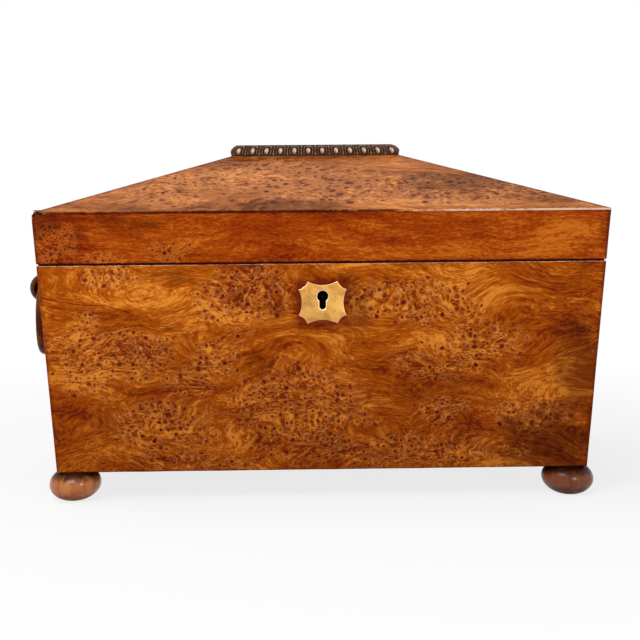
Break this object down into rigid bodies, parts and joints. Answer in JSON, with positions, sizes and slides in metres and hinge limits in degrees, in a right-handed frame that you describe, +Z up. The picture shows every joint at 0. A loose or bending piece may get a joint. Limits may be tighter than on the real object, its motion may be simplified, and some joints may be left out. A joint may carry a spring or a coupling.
{
  "type": "burl wood box",
  "caption": "Burl-veneered sarcophagus box with a hipped hinged lid, carved cap, brass keyhole plate, lock, ring handles and bun feet.",
  "frame": {"origin": "on the surface the box stands on, at the middle of the four feet", "axes": "+Z up, front face with the keyhole towards -Y, +X to the right seen from the front"},
  "size_m": [0.3334, 0.2151, 0.1905],
  "materials": {
    "burl_veneer": "french polish",
    "carcass_wood": "planed",
    "turned_wood": "french polish",
    "carved_wood": "waxed",
    "brass": "aged",
    "steel": "aged",
    "lining_paper": "paper-backed",
    "lining_cloth": "velvet"
  },
  "bodies": {
    "case": {"front_board": "carcass_wood", "front_veneer": "burl_veneer", "front_lining": "lining_paper", "right_board": "carcass_wood", "right_veneer": "burl_veneer", "right_lining": "lining_paper", "back_board": "carcass_wood", "back_veneer": "burl_veneer", "back_lining": "lining_paper", "left_board": "carcass_wood", "left_veneer": "burl_veneer", "left_lining": "lining_paper", "bottom_board": "carcass_wood", "floor_pad": "lining_cloth", "front_left_foot": "turned_wood", "front_right_foot": "turned_wood", "back_right_foot": "turned_wood", "back_left_foot": "turned_wood", "left_handle_boss": "turned_wood", "left_hinge_body_leaf": "brass", "right_handle_boss": "turned_wood", "right_hinge_body_leaf": "brass", "escutcheon": "brass", "lock_plate": "brass", "hinge_body_screws": "brass", "lock_screws": "brass", "hinge_pins": "steel", "drill_pin": "steel", "lock_case": "steel"},
    "lid": {"lid_panel": "lining_cloth", "cap_tablet": "burl_veneer", "cap_moulding": "carved_wood", "left_hinge_lid_leaf": "brass", "right_hinge_lid_leaf": "brass", "hinge_lid_screws": "brass", "link_plate": "brass", "link_screws": "brass", "lid_front_rim": "carcass_wood", "lid_front_rim_veneer": "burl_veneer", "roof_front_board": "carcass_wood", "roof_front_veneer": "burl_veneer", "lid_right_rim": "carcass_wood", "lid_right_rim_veneer": "burl_veneer", "roof_right_board": "carcass_wood", "roof_right_veneer": "burl_veneer", "lid_back_rim": "carcass_wood", "lid_back_rim_veneer": "burl_veneer", "roof_back_board": "carcass_wood", "roof_back_veneer": "burl_veneer", "lid_left_rim": "carcass_wood", "lid_left_rim_veneer": "burl_veneer", "roof_left_board": "carcass_wood", "roof_left_veneer": "burl_veneer"},
    "left_ring": {"left_handle_ring": "turned_wood"},
    "right_ring": {"right_handle_ring": "turned_wood"},
    "bolt": {"lock_bolt": "steel", "bolt_spring": "steel"}
  },
  "joints": [
    {"name": "lid_hinge", "type": "hinge", "parent": "case", "child": "lid", "pos_m": [0, 0.10564, 0.128], "axis": [-1, 0, 0], "range_deg": [0, 100]},
    {"name": "left_ring_swing", "type": "hinge", "parent": "case", "child": "left_ring", "pos_m": [-0.15829, 0, 0.10837], "axis": [0, 1, 0], "range_deg": [-8, 165]},
    {"name": "right_ring_swing", "type": "hinge", "parent": "case", "child": "right_ring", "pos_m": [0.15829, 0, 0.10837], "axis": [0, -1, 0], "range_deg": [-8, 165]},
    {"name": "bolt_throw", "type": "slide", "parent": "case", "child": "bolt", "axis": [1, 0, 0], "range_m": [0, 0.005]}
  ]
}
